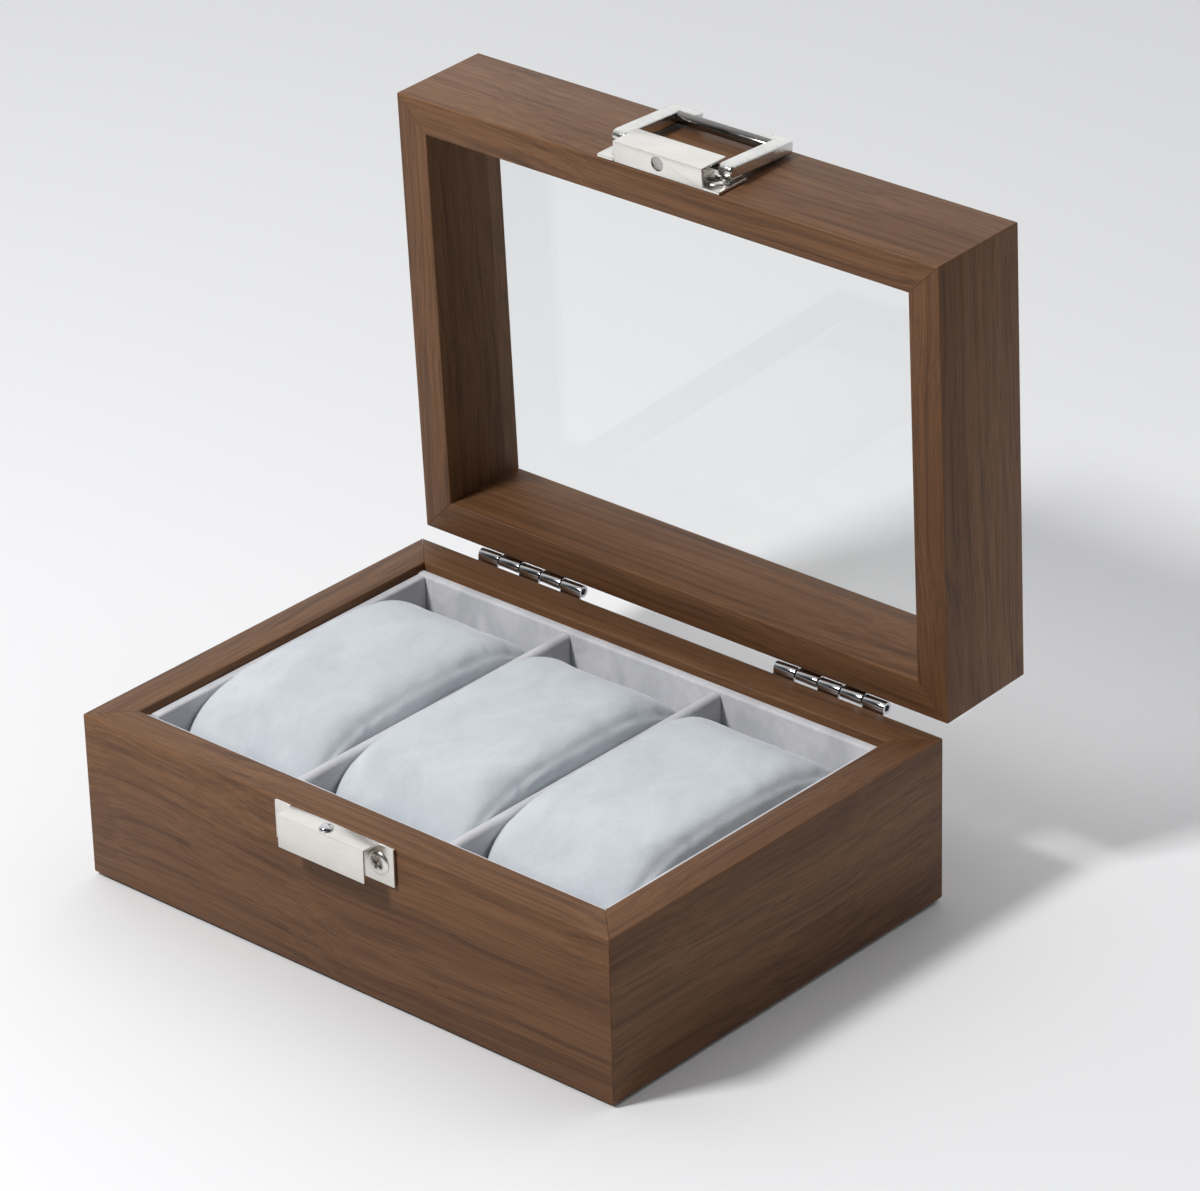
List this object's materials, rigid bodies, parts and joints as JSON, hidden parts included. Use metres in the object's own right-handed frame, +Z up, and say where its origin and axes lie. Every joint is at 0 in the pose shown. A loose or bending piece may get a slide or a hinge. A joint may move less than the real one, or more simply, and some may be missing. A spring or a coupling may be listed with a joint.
{
  "type": "watch box",
  "caption": "Hinged wooden watch box with a glazed lid, velvet lining, lift-out pillows and a bail clasp, shown open.",
  "frame": {"origin": "middle of the base's underside, on the surface it stands on", "axes": "+Z up, +X along the length to the right, -Y towards the front with the catch"},
  "size_m": [0.16, 0.1491, 0.1645],
  "materials": {
    "veneer": "satin walnut-look veneer, straight grain along each board",
    "fibreboard": "matt raw board",
    "felt": "matt felt",
    "velvet": "short pile, light grey",
    "pillow_velvet": "short pile, light grey-blue",
    "glass": "clear",
    "nickel": "satin nickel plate",
    "chrome": "polished",
    "steel": "polished steel rod"
  },
  "bodies": {
    "base": {"base_front_board": "veneer", "base_right_board": "veneer", "base_back_board": "veneer", "base_left_board": "veneer", "base_bottom_panel": "fibreboard", "underside_felt": "felt", "liner_floor": "velvet", "liner_front": "velvet", "liner_back": "velvet", "liner_left": "velvet", "liner_right": "velvet", "divider_left": "velvet", "divider_right": "velvet", "catch_plate": "nickel", "catch_stud": "chrome", "catch_screw_left": "nickel", "catch_screw_right": "nickel", "hinge_left_base_leaf": "chrome", "hinge_right_base_leaf": "chrome", "hinge_left_pin": "steel", "hinge_right_pin": "steel", "hinge_left_base_screw_1": "nickel", "hinge_left_base_screw_2": "nickel", "hinge_right_base_screw_1": "nickel", "hinge_right_base_screw_2": "nickel"},
    "lid": {"lid_front_board": "veneer", "lid_right_board": "veneer", "lid_back_board": "veneer", "lid_left_board": "veneer", "lid_glass": "glass", "clasp_plate": "nickel", "clasp_screw_left": "nickel", "clasp_screw_right": "nickel", "bail_pivot_pin": "steel", "hinge_left_lid_leaf": "chrome", "hinge_right_lid_leaf": "chrome", "hinge_left_lid_screw_1": "nickel", "hinge_left_lid_screw_2": "nickel", "hinge_right_lid_screw_1": "nickel", "hinge_right_lid_screw_2": "nickel"},
    "bail": {"bail_arm_left": "nickel", "bail_arm_right": "nickel", "bail_rod": "steel"},
    "pillow_left": {"pillow_left": "pillow_velvet"},
    "pillow_middle": {"pillow_middle": "pillow_velvet"},
    "pillow_right": {"pillow_right": "pillow_velvet"}
  },
  "joints": [
    {"name": "lid_hinge", "type": "hinge", "parent": "base", "child": "lid", "pos_m": [0, 0.059, 0.043], "axis": [1, 0, 0], "range_deg": [0, 88]},
    {"name": "bail_pivot", "type": "hinge", "parent": "lid", "child": "bail", "pos_m": [0, 0.06093, 0.16254], "axis": [1, 0, 0], "range_deg": [0, 183.6]},
    {"name": "pillow_left_lift", "type": "slide", "parent": "base", "child": "pillow_left", "axis": [0, 0, 1], "range_m": [0, 0.016]},
    {"name": "pillow_middle_lift", "type": "slide", "parent": "base", "child": "pillow_middle", "axis": [0, 0, 1], "range_m": [0, 0.016]},
    {"name": "pillow_right_lift", "type": "slide", "parent": "base", "child": "pillow_right", "axis": [0, 0, 1], "range_m": [0, 0.016]}
  ]
}
